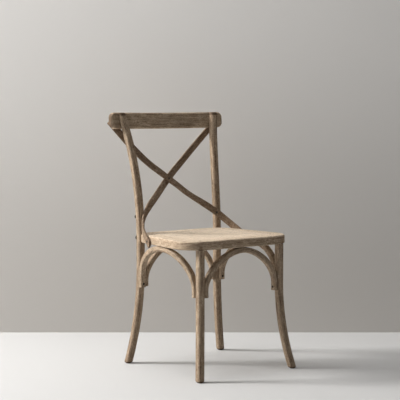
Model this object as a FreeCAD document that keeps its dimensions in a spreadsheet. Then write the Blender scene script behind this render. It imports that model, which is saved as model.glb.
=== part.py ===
import FreeCAD, Part
import math
import os
import re
import Sketcher
from FreeCAD import Placement, Rotation, Vector

# Cross back dining chair in oak, millimetres.
# Its front faces -Y, +X is on the right seen from the front, +Z is up.
# The origin is on the floor, in the middle of the chair's outer box.

doc = FreeCAD.newDocument("CrossBackChair")

# Driving dimensions: name, value, what it is
SIZES = [
    ("leg_width", 25.5, "side of the square leg section"),
    ("leg_round", 8, "corner radius of the leg section"),
    ("leg_chamfer", 3.5, "chamfer at the foot and at the post's top"),
    ("post_dome", 3, "height of the softened top of a post"),
    ("seat_underside", 431, "height of the seat's lower face"),
    ("seat_thickness", 30, "thickness of the seat ring"),
    ("front_leg_x", 170, "front leg's centre from the middle, at the seat"),
    ("front_leg_y", -204, "front leg's centre, at the seat"),
    ("front_bend", 300, "height where the front leg starts to splay"),
    ("front_splay_x", 30, "sideways splay of the front foot"),
    ("front_splay_y", 38, "forward splay of the front foot"),
    ("rear_leg_x", 169, "rear leg's centre from the middle, at the seat"),
    ("rear_leg_y", 145, "rear leg's centre, at the seat"),
    ("rear_bend", 340, "height where the rear leg starts to splay"),
    ("rear_splay_x", 37, "sideways splay of the rear foot"),
    ("rear_splay_y", 26, "backward splay of the rear foot"),
    ("post_bend", 450, "height where the post starts to lean back"),
    ("post_top", 880, "height of the post's top"),
    ("post_lean_y", 70, "backward lean at the post's top"),
    ("post_lean_x", 34, "sideways lean at the post's top"),
    ("post_curve_y", 1.75, "how late the backward lean comes"),
    ("post_curve_x", 2.6, "how late the sideways lean comes"),
    ("tenon_radius", 9, "radius of the front leg's round tenon"),
    ("tenon_length", 14, "length of the tenon in the seat"),
    ("glide_radius", 8.5, "radius of the nylon foot glide"),
    ("glide_height", 2, "height of the glide under the foot"),
    ("glide_stem_radius", 3, "radius of the glide's stem"),
    ("glide_stem_length", 14, "length of the glide's stem"),
    ("fit_gap", 0.2, "clearance round pieces that sit in one another"),
    ("cut_past", 2, "how far a cut runs past the faces that it opens"),
    ("touch_gap", 0.05, "clearance between faces that rest on one another"),
    ("seat_front_y", -223, "front edge of the seat"),
    ("seat_rear_y", 151, "rear edge of the seat"),
    ("seat_rear_half", 190, "half width of the seat at its rear edge"),
    ("seat_front_half", 238, "half width of the seat at its front edge"),
    ("seat_rear_round", 80, "radius of the seat's rear corners in plan"),
    ("seat_front_round", 87, "radius of the seat's front corners in plan"),
    ("seat_least_round", 6, "least corner radius inside the seat ring"),
    ("seat_top_round", 7.5, "rounding of the seat's upper edge"),
    ("seat_bottom_round", 4, "rounding of the seat's lower edge"),
    ("ring_width", 60, "width of the ring between its edge and the opening"),
    ("panel_lap", 9, "how far the panel laps onto the ring"),
    ("panel_thickness", 13, "thickness of the seat panel at its edge"),
    ("panel_round", 1.5, "rounding of the panel's upper edge"),
    ("dish_depth", 5.5, "depth of the dish in the seat panel"),
    ("dish_radius", 138, "radius of the dish seen from above"),
    ("arch_spring", 300, "height where an arch starts to curve"),
    ("arch_end", 272, "height of an arch's lower ends"),
    ("arch_depth", 21, "arch section across the plane of the arch"),
    ("arch_height", 19, "arch section in the plane of the arch"),
    ("arch_end_height", 16, "the same section where it is thinned to seat on a leg"),
    ("arch_power", 1.8, "fullness of the front and rear arches, 2 for an ellipse"),
    ("side_arch_power", 2, "fullness of the side arches"),
    ("front_arch_out", 7, "how far the front arch's crown stands out from its ends"),
    ("side_arch_out", 24, "how far a side arch's crown stands out from its ends"),
    ("side_arch_shift", 5, "how far a side arch sits outward of the legs' middles"),
    ("arch_out_curve", 1.4, "how late an arch turns outward"),
    ("arch_round", 5, "corner radius of the arch section"),
    ("rail_length", 489, "length of the top rail, end to end"),
    ("rail_height", 57, "height of the top rail along its face"),
    ("rail_thickness", 22.5, "thickness of the top rail"),
    ("rail_bow", 1500, "radius of the rail's backward bow"),
    ("rail_tilt", 6, "angle that the rail leans back, degrees"),
    ("rail_centre_z", 850.5, "height of the rail's middle"),
    ("rail_end_round", 19, "radius of the rail's corners seen from the front"),
    ("rail_edge_round", 6.5, "rounding along the rail's long edges"),
    ("slat_width", 24, "width of a cross slat"),
    ("slat_thickness", 7.5, "thickness of a cross slat"),
    ("slat_round", 2.2, "edge rounding of a cross slat"),
    ("slat_top_x", 225, "slat's bolt at the rail, from the middle"),
    ("slat_top_z", 840, "height of that bolt"),
    ("slat_tail", 15, "slat beyond the rail bolt"),
    ("slat_shoulder_x", 150, "slat's shoulder below the rail, from the middle"),
    ("slat_shoulder_y", 242, "depth of the slat at its shoulder"),
    ("slat_shoulder_z", 768, "height of the slat at its shoulder"),
    ("slat_upper_x", 75, "slat's point above the crossing, from the middle"),
    ("slat_upper_y", 236, "depth of that point"),
    ("slat_upper_z", 701, "height of that point"),
    ("slat_cross_y", 216, "depth of the crossing"),
    ("slat_cross_z", 640.5, "height of the crossing"),
    ("slat_lower_x", 75, "slat's point below the crossing, from the middle"),
    ("slat_lower_y", 185, "depth of that point"),
    ("slat_lower_z", 582, "height of that point"),
    ("slat_post_z", 517, "height where the slat crosses the post"),
    ("slat_post_turn", 35, "turn of the slat's face at the post, degrees"),
    ("slat_bed", 2.6, "depth of the post's bed for the slat"),
    ("slat_wrap_y", 92, "depth of the slat halfway to the seat"),
    ("slat_wrap_x", 194, "distance of that point from the middle"),
    ("slat_wrap_z", 475, "height of that point"),
    ("slat_wrap_turn", 65, "turn of the slat's face there, degrees"),
    ("slat_screw_y", 43, "depth of the slat's screw in the seat"),
    ("slat_screw_z", 441, "height of the slat's screw in the seat"),
    ("slat_end_y", 29, "depth of the slat's cut end"),
    ("slat_end_z", 428, "height of the slat's centre line at its end"),
    ("slat_cross_gap", 0.4, "clearance between the slats where they cross"),
    ("screw_radius", 2, "shank radius of the wood screws"),
    ("screw_head_radius", 4, "head radius of the wood screws"),
    ("screw_head_height", 2.6, "head height of the wood screws"),
    ("screw_recess", 3.4, "depth of a screw head's counterbore"),
    ("arch_screw_rise", 12, "height of an arch's leg screw above the arch's end"),
    ("arch_screw_grip", 10, "how far an arch's leg screw goes into the leg"),
    ("crown_screw_grip", 13, "how far an arch's crown screw goes into the seat"),
    ("bolt_radius", 3, "shank radius of the bolts"),
    ("bolt_head_radius", 6.5, "radius of the bolts' domed heads"),
    ("bolt_head_height", 4, "height of the bolts' domed heads"),
    ("bolt_recess", 3, "depth of the bolt head's recess in a slat"),
    ("screw_head_edge", 0.3, "rounding of a screw's head, as a share of its height"),
    ("dome_edge", 0.75, "rounding of a domed head or nut, as a share of its height"),
    ("socket_radius", 2, "radius of the hexagon sockets, over the corners"),
    ("socket_depth", 1.6, "depth of the hexagon sockets"),
    ("nut_radius", 6, "radius of the domed nuts"),
    ("nut_height", 6, "height of the domed nuts"),
    ("seat_bolt_z", 444, "height of the bolt from the post into the seat"),
    ("seat_bolt_turn", 40, "direction of that bolt from straight back, degrees"),
    ("seat_bolt_reach", 40, "how far that bolt goes past the post's centre"),
    ("spot_face", 1, "depth of the flat for a bolt head on a round corner"),
    ("rail_seat_z", 835, "height where the rail's face meets the post's back"),
    ("rail_screw_low", 836, "height of the lower rail screws"),
    ("rail_screw_high", 864, "height of the upper rail screws"),
    ("rail_screw_grip", 11, "how far a rail screw goes into the post"),
    ("rail_bolt_grip", 15, "how far a slat's bolt goes into the rail"),
    ("seat_screw_grip", 18, "how far the slat's lower screw goes into the seat"),
    ("plug_radius", 5, "radius of the wooden plugs in the seat"),
    ("plug_height", 5, "height of the plugs"),
    ("plug_depth", 9, "depth of the counterbores under the plugs"),
    ("plug_front_x", 168, "front plugs' distance from the middle"),
    ("plug_front_y", -200, "depth of the front plugs"),
    ("plug_rear_x", 157, "rear plugs' distance from the middle"),
    ("plug_rear_y", 89, "depth of the rear plugs"),
    ("plug_screw_length", 34, "length of the screws into the front legs"),
    ("lap_screw_length", 17, "length of the screws under the rear plugs"),
    ("panel_screw_radius", 1.6, "shank radius of the panel screws"),
    ("panel_screw_head", 3.4, "head radius of the panel screws"),
    ("panel_screw_grip", 8, "how far the panel screws go into the panel"),
    ("panel_screw_spread", 85, "panel screws' distance from the middle of a side"),
]

sheet = doc.addObject("Spreadsheet::Sheet", "Sizes")
for row, (alias, value, note) in enumerate(SIZES, start=1):
    sheet.set(f"A{row}", alias)
    sheet.set(f"B{row}", str(value))
    sheet.set(f"C{row}", note)
    sheet.setAlias(f"B{row}", alias)
doc.recompute()

ALIASES = {alias for alias, value, note in SIZES}
nodes = {}


def cell(formula):
    """The formula with each size's name turned into a reference to its cell."""
    return re.sub(r"[a-z_]+", lambda word: "Sizes." + word[0] if word[0] in ALIASES else word[0],
                  str(formula))


def value_of(formula):
    """The number that a formula of sizes gives."""
    result = sheet.evalExpression(cell(formula))
    return float(getattr(result, "Value", result))


def bind(feature, prop, formula):
    feature.setExpression(prop, cell(formula))


def new_body(name):
    body = doc.addObject("PartDesign::Body", "Body_" + name)
    body.Label = name
    return body


def plane_of(body, role="XY_Plane"):
    return next(item for item in body.Origin.OriginFeatures if item.Role == role)


def new_sketch(body, name, x="0", y="0", z="0"):
    """A sketch on the body's horizontal plane, moved by three formulas."""
    sketch = body.newObject("Sketcher::SketchObject", name)
    sketch.AttachmentSupport = (plane_of(body), "")
    sketch.MapMode = "FlatFace"
    for axis, formula in zip("xyz", (x, y, z)):
        bind(sketch, "AttachmentOffset.Base." + axis, formula)
    return sketch


def dimension(sketch, name, formula, kind, *elements):
    """A dimension of a sketch, driven by a formula of sizes."""
    index = sketch.addConstraint(Sketcher.Constraint(kind, *elements, value_of(formula)))
    sketch.renameConstraint(index, name)
    bind(sketch, "Constraints." + name, formula)


def draw_rounded_rectangle(sketch, width, depth, radius):
    """A centred rectangle with round corners, from three formulas."""
    half_w = value_of(width) / 2
    half_d = value_of(depth) / 2
    turn = value_of(radius)
    corners = [(half_w, -half_d), (half_w, half_d), (-half_w, half_d), (-half_w, -half_d)]
    normal = Vector(0, 0, 1)
    for index, (x, y) in enumerate(corners):
        before_x, before_y = corners[index - 1]
        centre = Vector(x - math.copysign(turn, x), y - math.copysign(turn, y), 0)
        old = Vector(before_x - math.copysign(turn, before_x),
                     before_y - math.copysign(turn, before_y), 0)
        start = math.radians(-90 + 90 * index)
        out = Vector(math.cos(start), math.sin(start), 0) * turn
        sketch.addGeometry(Part.LineSegment(old + out, centre + out), False)
        circle = Part.Circle(centre, normal, turn)
        sketch.addGeometry(Part.ArcOfCircle(circle, start, start + math.pi / 2), False)
    rules = [Sketcher.Constraint("Tangent", i, 2, (i + 1) % 8, 1) for i in range(8)]
    rules += [Sketcher.Constraint("Horizontal", 0), Sketcher.Constraint("Horizontal", 4)]
    rules += [Sketcher.Constraint("Vertical", 2), Sketcher.Constraint("Vertical", 6)]
    rules += [Sketcher.Constraint("Equal", i, i + 2) for i in (1, 3, 5)]
    rules += [Sketcher.Constraint("Symmetric", 0, 1, 4, 1, -1, 1)]
    sketch.addConstraint(rules)
    dimension(sketch, "corner", radius, "Radius", 1)
    dimension(sketch, "width", width, "DistanceX", 6, 1, 2, 1)
    dimension(sketch, "depth", depth, "DistanceY", 0, 1, 4, 1)


def loft(body, name, profiles, ruled=False):
    feature = body.newObject("PartDesign::AdditiveLoft", name)
    feature.Profile = profiles[0]
    feature.Sections = profiles[1:]
    feature.Ruled = ruled
    return feature


def pad(body, name, sketch, length):
    feature = body.newObject("PartDesign::Pad", name)
    feature.Profile = sketch
    bind(feature, "Length", length)
    return feature


# Legs: each centre line is a formula of the height

def front_leg_line(height):
    """How far the front leg's centre is from the middle and how far forward, by height."""
    drop = f"pow(max(0; 1 - ({height}) / front_bend); 2)"
    return f"(front_leg_x + front_splay_x * {drop})", f"(front_leg_y - front_splay_y * {drop})"


def rear_leg_line(height):
    """The same for the rear leg, whose upper part is the back post."""
    drop = f"pow(max(0; 1 - ({height}) / rear_bend); 2)"
    rise = f"max(0; (({height}) - post_bend) / (post_top - post_bend))"
    out = f"(rear_leg_x + rear_splay_x * {drop} + post_lean_x * pow({rise}; post_curve_x))"
    back = f"(rear_leg_y + rear_splay_y * {drop} + post_lean_y * pow({rise}; post_curve_y))"
    return out, back


def leg_sections(body, line, side, heights, inset="0"):
    """Square sections of a leg at the heights, smaller by inset all round."""
    profiles = []
    for height in heights:
        out, back = line(height)
        sketch = new_sketch(body, "section", f"{side} * {out}", back, height)
        width = f"leg_width - 2 * ({inset})"
        draw_rounded_rectangle(sketch, width, width, f"leg_round - ({inset})")
        profiles.append(sketch)
    return profiles


def between(low, high, count):
    """Heights spaced evenly from one formula to another."""
    return [f"({low}) + ({high} - ({low})) * {i} / {count}" for i in range(count + 1)]


FOOT_EDGE = "glide_height + leg_chamfer"
SPLAY_STEPS = 6
POST_STEPS = 8


def make_front_leg(name, side):
    body = new_body(name)
    bottom = leg_sections(body, front_leg_line, side, ["glide_height"], "leg_chamfer")
    lower = leg_sections(body, front_leg_line, side, between(FOOT_EDGE, "front_bend", SPLAY_STEPS))
    loft(body, "splay", lower)
    loft(body, "foot_edge", bottom + [lower[0]], ruled=True)
    top = leg_sections(body, front_leg_line, side, ["front_bend"])
    pad(body, "shank", top[0], "seat_underside - touch_gap - front_bend")
    tenon = body.newObject("PartDesign::AdditiveCylinder", "tenon")
    bind(tenon, "Radius", "tenon_radius")
    bind(tenon, "Height", "tenon_length + leg_width")
    bind(tenon, "Placement.Base.x", f"{side} * front_leg_x")
    bind(tenon, "Placement.Base.y", "front_leg_y")
    bind(tenon, "Placement.Base.z", "seat_underside - leg_width")
    return body


def make_rear_leg(name, side):
    body = new_body(name)
    bottom = leg_sections(body, rear_leg_line, side, ["glide_height"], "leg_chamfer")
    lower = leg_sections(body, rear_leg_line, side, between(FOOT_EDGE, "rear_bend", SPLAY_STEPS))
    loft(body, "splay", lower)
    loft(body, "foot_edge", bottom + [lower[0]], ruled=True)
    middle = leg_sections(body, rear_leg_line, side, ["rear_bend"])
    pad(body, "shank", middle[0], "post_bend - rear_bend")
    upper = leg_sections(body, rear_leg_line, side,
                         between("post_bend", "post_top - post_dome", POST_STEPS))
    loft(body, "post", upper)
    crown = leg_sections(body, rear_leg_line, side, ["post_top"], "leg_chamfer")
    loft(body, "crown", [upper[-1]] + crown, ruled=True)
    return body


# Seat: prisms with the seat's outline, drawn in by an inset

SEAT_SLOPE = "((seat_front_half - seat_rear_half) / (seat_rear_y - seat_front_y))"
SEAT_MIDDLE = "((seat_front_y + seat_rear_y) / 2)"


def seat_half(depth, inset="0"):
    """Half width of the seat's outline at a depth, drawn in square to its side."""
    return (f"(seat_rear_half + {SEAT_SLOPE} * (seat_rear_y - ({depth}))"
            f" - ({inset}) * sqrt(1 + pow({SEAT_SLOPE}; 2)))")


def draw_seat_outline(sketch, inset):
    """The seat's trapezoid with sharp corners, symmetric about the middle."""
    front = f"(seat_front_y + ({inset}))"
    rear = f"(seat_rear_y - ({inset}))"
    front_half = seat_half(front, inset)
    rear_half = seat_half(rear, inset)
    corners = [(-value_of(front_half), value_of(front)), (value_of(front_half), value_of(front)),
               (value_of(rear_half), value_of(rear)), (-value_of(rear_half), value_of(rear))]
    for index, (x, y) in enumerate(corners):
        next_x, next_y = corners[(index + 1) % 4]
        sketch.addGeometry(Part.LineSegment(Vector(x, y, 0), Vector(next_x, next_y, 0)), False)
    rules = [Sketcher.Constraint("Coincident", i, 2, (i + 1) % 4, 1) for i in range(4)]
    rules += [Sketcher.Constraint("Symmetric", 0, 1, 0, 2, -2)]
    rules += [Sketcher.Constraint("Symmetric", 2, 1, 2, 2, -2)]
    sketch.addConstraint(rules)
    dimension(sketch, "front_width", f"2 * {front_half}", "DistanceX", 0, 1, 0, 2)
    dimension(sketch, "rear_width", f"2 * {rear_half}", "DistanceX", 2, 2, 2, 1)
    dimension(sketch, "front_edge", front, "DistanceY", -1, 1, 0, 1)
    dimension(sketch, "rear_edge", rear, "DistanceY", -1, 1, 2, 1)


def edges_of(feature, test):
    """Names of the edges of a feature that pass a test."""
    doc.recompute()
    return [f"Edge{i}" for i, edge in enumerate(feature.Shape.Edges, start=1) if test(edge)]


def fillet(body, name, base, edges, radius):
    feature = body.newObject("PartDesign::Fillet", name)
    feature.Base = (base, edges)
    bind(feature, "Radius", radius)
    return feature


NEAR = 0.01


def is_upright(edge):
    box = edge.BoundBox
    return box.ZLength > NEAR and box.XLength + box.YLength < NEAR


def seat_prism(name, inset, bottom, height):
    """A block with the seat's outline and round corners."""
    body = new_body(name)
    sketch = new_sketch(body, "outline", z=bottom)
    draw_seat_outline(sketch, inset)
    block = pad(body, "block", sketch, height)
    middle = value_of(SEAT_MIDDLE)
    rear = edges_of(block, lambda edge: is_upright(edge) and edge.BoundBox.YMin > middle)
    round_rear = fillet(body, "rear_corners", block, rear,
                        f"max(seat_rear_round - ({inset}); seat_least_round)")
    front = edges_of(round_rear, lambda edge: is_upright(edge) and edge.BoundBox.YMax < middle
                     and abs(edge.BoundBox.YMin - value_of(f"seat_front_y + ({inset})")) < NEAR)
    fillet(body, "front_corners", round_rear, front,
           f"max(seat_front_round - ({inset}); seat_least_round)")
    return body


def is_level(edge, height):
    box = edge.BoundBox
    return abs(box.ZMin - height) < NEAR and abs(box.ZMax - height) < NEAR


def round_level_edges(body, name, height, radius):
    edges = edges_of(body, lambda edge: is_level(edge, value_of(height)))
    return fillet(body, name, body.Tip, edges, radius)


SEAT_TOP = "(seat_underside + seat_thickness)"


def make_ring_blank():
    body = seat_prism("ring_blank", "0", "seat_underside", "seat_thickness")
    round_level_edges(body, "upper_edge", SEAT_TOP, "seat_top_round")
    round_level_edges(body, "lower_edge", "seat_underside", "seat_bottom_round")
    return body


def make_panel():
    inset = "ring_width - panel_lap + fit_gap"
    body = seat_prism("panel_blank", inset, f"{SEAT_TOP} - panel_thickness", "panel_thickness")
    round_level_edges(body, "panel_edge", SEAT_TOP, "panel_round")
    dish = body.newObject("PartDesign::SubtractiveSphere", "dish")
    curve = "(pow(dish_radius; 2) + pow(dish_depth; 2)) / (2 * dish_depth)"
    bind(dish, "Radius", curve)
    bind(dish, "Placement.Base.y", SEAT_MIDDLE)
    bind(dish, "Placement.Base.z", f"{SEAT_TOP} - dish_depth + {curve}")
    return body


# Top rail: a bowed board with round ends, leaning back

def make_rail_blank():
    body = new_body("rail_blank")
    sketch = new_sketch(body, "bow", z="-rail_height / 2")
    outer = value_of("rail_bow + rail_thickness / 2")
    inner = value_of("rail_bow - rail_thickness / 2")
    half = value_of("rail_length / 2")
    centre = Vector(0, -value_of("rail_bow"), 0)
    ends = {}
    for radius in (outer, inner):
        swing = math.asin(half / radius)
        circle = Part.Circle(centre, Vector(0, 0, 1), radius)
        arc = Part.ArcOfCircle(circle, math.pi / 2 - swing, math.pi / 2 + swing)
        sketch.addGeometry(arc, False)
        ends[radius] = centre + Vector(half, math.sqrt(radius ** 2 - half ** 2), 0)
    sketch.addGeometry(Part.LineSegment(ends[inner], ends[outer]), False)
    sketch.addGeometry(Part.LineSegment(Vector(-half, ends[outer].y, 0),
                                        Vector(-half, ends[inner].y, 0)), False)
    sketch.addConstraint([
        Sketcher.Constraint("Coincident", 0, 3, 1, 3),
        Sketcher.Constraint("PointOnObject", 0, 3, -2),
        Sketcher.Constraint("Coincident", 0, 1, 2, 2),
        Sketcher.Constraint("Coincident", 1, 1, 2, 1),
        Sketcher.Constraint("Coincident", 0, 2, 3, 1),
        Sketcher.Constraint("Coincident", 1, 2, 3, 2),
        Sketcher.Constraint("Vertical", 2),
        Sketcher.Constraint("Symmetric", 0, 1, 0, 2, -2),
        Sketcher.Constraint("Symmetric", 1, 1, 1, 2, -2),
    ])
    dimension(sketch, "outer", "rail_bow + rail_thickness / 2", "Radius", 0)
    dimension(sketch, "inner", "rail_bow - rail_thickness / 2", "Radius", 1)
    dimension(sketch, "centre", "-rail_bow", "DistanceY", -1, 1, 0, 3)
    dimension(sketch, "length", "rail_length", "DistanceX", 3, 1, 2, 2)
    board = pad(body, "board", sketch, "rail_height")

    def is_end(edge):
        box = edge.BoundBox
        return box.XLength < NEAR and box.ZLength < NEAR and abs(abs(box.XMin) - half) < NEAR

    rounded = fillet(body, "ends", board, edges_of(board, is_end), "rail_end_round")

    def is_long_rim(edge):
        """True on the outline of the rail's front or back face."""
        distances = [math.hypot(v.X, v.Y - centre.y) for v in edge.Vertexes]
        return any(all(abs(d - radius) < NEAR for d in distances) for radius in (inner, outer))

    fillet(body, "rims", rounded, edges_of(rounded, is_long_rim), "rail_edge_round")
    body.Placement = Placement(Vector(), Rotation(Vector(-1, 0, 0), 1))
    bind(body, "Placement.Rotation.Angle", "rail_tilt")
    bind(body, "Placement.Base.y", RAIL_Y)
    bind(body, "Placement.Base.z", "rail_centre_z")
    return body


def rail_face(x, z, side):
    """Depth of the rail's front (-1) or back (1) face at a place, as a formula."""
    return (f"({RAIL_Y} + (sqrt(pow(rail_bow + {side} * rail_thickness / 2; 2) - pow({x}; 2))"
            f" - rail_bow) / cos(rail_tilt) + (({z}) - rail_centre_z) * tan(rail_tilt))")


SEAT_OUT, SEAT_BACK = rear_leg_line("rail_seat_z")
RAIL_Y = (f"({SEAT_BACK} + leg_width / 2"
          f" - (sqrt(pow(rail_bow - rail_thickness / 2; 2) - pow({SEAT_OUT}; 2)) - rail_bow)"
          f" / cos(rail_tilt) + (rail_centre_z - rail_seat_z) * tan(rail_tilt))")


# Arches: half ellipses with straight ends that lie against the legs

def leg_lean(kind, axis, height):
    """How far a leg's face has moved out at a height, along one axis."""
    bend, splay = f"{kind}_bend", f"{kind}_splay_{axis}"
    return f"({splay} * pow(max(0; 1 - ({height}) / {bend}); 2))"


ARCH_STEPS = 12
ARCH_FADE = 1.6


def make_arch(name, span, leans, turn, place, power, out):
    """An arch in its own XZ plane: its sizes are formulas, turn is about +Z, out is along Y."""
    body = new_body(name)
    rise = "(seat_underside - touch_gap - arch_spring)"
    half = f"({span} / 2 - touch_gap)"
    profiles = []

    def add(x, y, z, height, angle):
        sketch = new_sketch(body, "section", x, y, z)
        sketch.AttachmentOffset = Placement(sketch.AttachmentOffset.Base,
                                            Rotation(Vector(0, 1, 0), value_of(angle)))
        if "atan2" in angle:
            bind(sketch, "AttachmentOffset.Rotation.Angle", angle)
        draw_rounded_rectangle(sketch, height, "arch_depth", "arch_round")
        profiles.append(sketch)

    def add_end(side, heights, angle):
        kind, axis = leans[side]
        for height in heights:
            outer = f"({half} + {leg_lean(kind, axis, height)})"
            add(f"{side} * ({outer} - arch_end_height / 2)", "0", height, "arch_end_height", angle)

    ends = ["arch_end", "(arch_end + arch_spring) / 2", "arch_spring"]
    add_end(-1, ends, "0")
    for step in range(1, ARCH_STEPS):
        swing = -90 + 180 * step / ARCH_STEPS
        sign = math.copysign(1, swing)
        share = f"pow(abs(sin({swing})); 2 / {power})"
        lift = f"pow(cos({swing}); 2 / {power})"
        run = f"{half} * cos({swing}) * pow(abs(sin({swing})); 2 / {power} - 1)"
        fall = f"{rise} * sin({swing}) * pow(cos({swing}); 2 / {power} - 1)"
        slope = f"atan2({fall}; {run})"
        fade = f"min(1; cos({swing}) * {ARCH_FADE})"
        height = f"(arch_end_height + (arch_height - arch_end_height) * {fade})"
        add(f"{sign} * {half} * {share} - {height} / 2 * sin({slope})",
            f"{out} * pow({lift}; arch_out_curve)",
            f"arch_spring + {rise} * {lift} - {height} / 2 * cos({slope})",
            height, f"{slope} + 90 deg")
    add_end(1, ends[::-1], "180")
    loft(body, "bend", profiles)
    body.Placement = Placement(Vector(), Rotation(Vector(0, 0, 1), turn))
    bind(body, "Placement.Base.x", place[0])
    bind(body, "Placement.Base.y", place[1])
    return body


# Cross slats: one bent and twisted strip each, lofted along a spline

def unit(vector):
    return Vector(vector).normalize()


def slat_points():
    """Places on the right-hand half-turn of a slat, with the turn of its face at each."""
    post_x, post_y = (value_of(part) for part in rear_leg_line("slat_post_z"))
    turn = math.radians(value_of("slat_post_turn"))
    reach = value_of("leg_width / 2 - leg_round") * (math.sin(turn) + math.cos(turn))
    reach += value_of("leg_round + slat_thickness / 2 - slat_bed")
    half_thickness = value_of("slat_thickness / 2 + touch_gap")
    top_y = value_of(rail_face("slat_top_x", "slat_top_z", 1)) + half_thickness
    edge_turn = 90 - math.degrees(math.atan(value_of(SEAT_SLOPE)))
    side_gap = half_thickness / math.sin(math.radians(edge_turn))
    rows = [
        (-value_of("slat_top_x"), top_y, value_of("slat_top_z"), None),
        (-value_of("slat_shoulder_x"), value_of("slat_shoulder_y"), value_of("slat_shoulder_z"), None),
        (-value_of("slat_upper_x"), value_of("slat_upper_y"), value_of("slat_upper_z"), None),
        (0, value_of("slat_cross_y"), value_of("slat_cross_z"), None),
        (value_of("slat_lower_x"), value_of("slat_lower_y"), value_of("slat_lower_z"), None),
        (post_x - reach * math.sin(turn), post_y - reach * math.cos(turn), value_of("slat_post_z"),
         value_of("slat_post_turn")),
        (value_of("slat_wrap_x"), value_of("slat_wrap_y"), value_of("slat_wrap_z"),
         value_of("slat_wrap_turn")),
        (value_of(seat_half("slat_screw_y")) + side_gap, value_of("slat_screw_y"),
         value_of("slat_screw_z"), edge_turn),
        (value_of(seat_half("slat_end_y")) + side_gap, value_of("slat_end_y"),
         value_of("slat_end_z"), edge_turn),
    ]
    return rows


def smooth_step(value):
    value = min(1, max(0, value))
    return value * value * (3 - 2 * value)


SLAT_STEPS = 4


def slat_frames(shift):
    """Frames along a slat: centre, direction, face normal; shift moves it where it crosses."""
    rows = slat_points()
    first = Vector(*rows[0][:3])
    second = Vector(*rows[1][:3])
    tail = first + unit(first - second) * value_of("slat_tail")
    points = [tail] + [Vector(*row[:3]) for row in rows]
    curve = Part.BSplineCurve()
    curve.interpolate(points)
    knots = [curve.parameter(point) for point in points]
    turns = [None] + [row[3] for row in rows]
    frames = []
    stations = []
    for i in range(len(knots) - 1):
        parts = 1 if i == 0 else SLAT_STEPS
        stations += [knots[i] + (knots[i + 1] - knots[i]) * j / parts for j in range(parts)]
    stations.append(knots[-1])
    for place in stations:
        centre = curve.value(place)
        along = unit(curve.tangent(place)[0])
        flat = unit(Vector(0, along.z, -along.y))
        span = max(i for i in range(len(knots) - 1) if knots[i] <= place + 1e-9)
        share = (place - knots[span]) / (knots[span + 1] - knots[span])
        low, high = turns[span], turns[span + 1]
        if high is None:
            face = flat
        else:
            angle = math.radians(high if low is None else low + (high - low) * share)
            turned = Vector(-math.sin(angle), -math.cos(angle), 0)
            blend = smooth_step(share) if low is None else 1
            face = flat * (1 - blend) + turned * blend
        face = unit(face - along * face.dot(along))
        near = 1 - smooth_step((abs(centre.x) - value_of("slat_width")) / value_of("2 * slat_width"))
        frames.append((centre + face * (shift * near), along, face))
    return frames


def slat_section(frame, width, thickness, radius, side):
    """A closed wire: a rectangle with round corners across the slat."""
    centre, along, face = frame
    across = along.cross(face)
    edges = []
    corners = [(1, 1), (-1, 1), (-1, -1), (1, -1)]

    def place(u, v):
        point = centre + across * u + face * v
        return Vector(point.x * side, point.y, point.z)

    for index, (sx, sy) in enumerate(corners):
        next_x, next_y = corners[(index + 1) % 4]
        u, v = sx * (width / 2 - radius), sy * (thickness / 2 - radius)
        next_u, next_v = next_x * (width / 2 - radius), next_y * (thickness / 2 - radius)
        ahead = Vector(next_u - u, next_v - v, 0).normalize()
        out = Vector(-ahead.y, ahead.x, 0)
        if out.dot(Vector(u + next_u, v + next_v, 0)) < 0:
            out = -out
        line_start = (u + out.x * radius, v + out.y * radius)
        line_end = (next_u + out.x * radius, next_v + out.y * radius)
        edges.append(Part.makeLine(place(*line_start), place(*line_end)))
        middle = Vector(out.x + ahead.x, out.y + ahead.y, 0).normalize() * radius
        arc_end = (next_u + ahead.x * radius, next_v + ahead.y * radius)
        arc_middle = (next_u + middle.x, next_v + middle.y)
        edges.append(Part.Arc(place(*line_end), place(*arc_middle), place(*arc_end)).toShape())
    return Part.Wire(edges)


def slat_solid(side, shift, growth=0.0):
    """The slat's loft; side 1 starts at the left of the rail, growth makes it fatter."""
    width = value_of("slat_width") + 2 * growth
    thickness = value_of("slat_thickness") + 2 * growth
    radius = value_of("slat_round") + growth
    wires = [slat_section(frame, width, thickness, radius, side) for frame in slat_frames(shift)]
    return Part.makeLoft(wires, True, False)


def make_slat(name, side, shift):
    blank = slat_solid(side, shift)
    ends_y = value_of("slat_end_y")
    reach = value_of("leg_width")
    trim = Part.makeBox(4 * reach, 2 * reach, 4 * reach,
                        Vector(side * value_of("seat_rear_half") - 2 * reach, ends_y - 2 * reach,
                               value_of("slat_end_z") - 2 * reach))
    feature = doc.addObject("Part::Feature", name)
    feature.Label = name
    feature.Shape = blank.cut(trim)
    return feature


# Blanks: every wooden piece before its holes and seats are cut

blanks = {}
sides = ((-1, "left"), (1, "right"))
SIDE_ARCH_X = "(front_leg_x + side_arch_shift)"
for side, word in sides:
    blanks["front_leg_" + word] = make_front_leg("front_leg_blank_" + word, side)
    blanks["rear_leg_" + word] = make_rear_leg("rear_leg_blank_" + word, side)
    blanks["side_arch_" + word] = make_arch(
        "side_arch_blank_" + word, "(rear_leg_y - front_leg_y - leg_width)",
        {-1: ("front", "y"), 1: ("rear", "y")}, 90,
        (f"{side} * {SIDE_ARCH_X}", "(front_leg_y + rear_leg_y) / 2"),
        "side_arch_power", f"-{side} * side_arch_out")
blanks["front_arch"] = make_arch("front_arch_blank", "(2 * front_leg_x - leg_width)",
                                 {-1: ("front", "x"), 1: ("front", "x")}, 0, ("0", "front_leg_y"),
                                 "arch_power", "-front_arch_out")
blanks["rear_arch"] = make_arch("rear_arch_blank", "(2 * rear_leg_x - leg_width)",
                                {-1: ("rear", "x"), 1: ("rear", "x")}, 0, ("0", "rear_leg_y"),
                                "arch_power", "0")
blanks["seat_ring"] = make_ring_blank()
blanks["seat_panel"] = make_panel()
blanks["top_rail"] = make_rail_blank()
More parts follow.
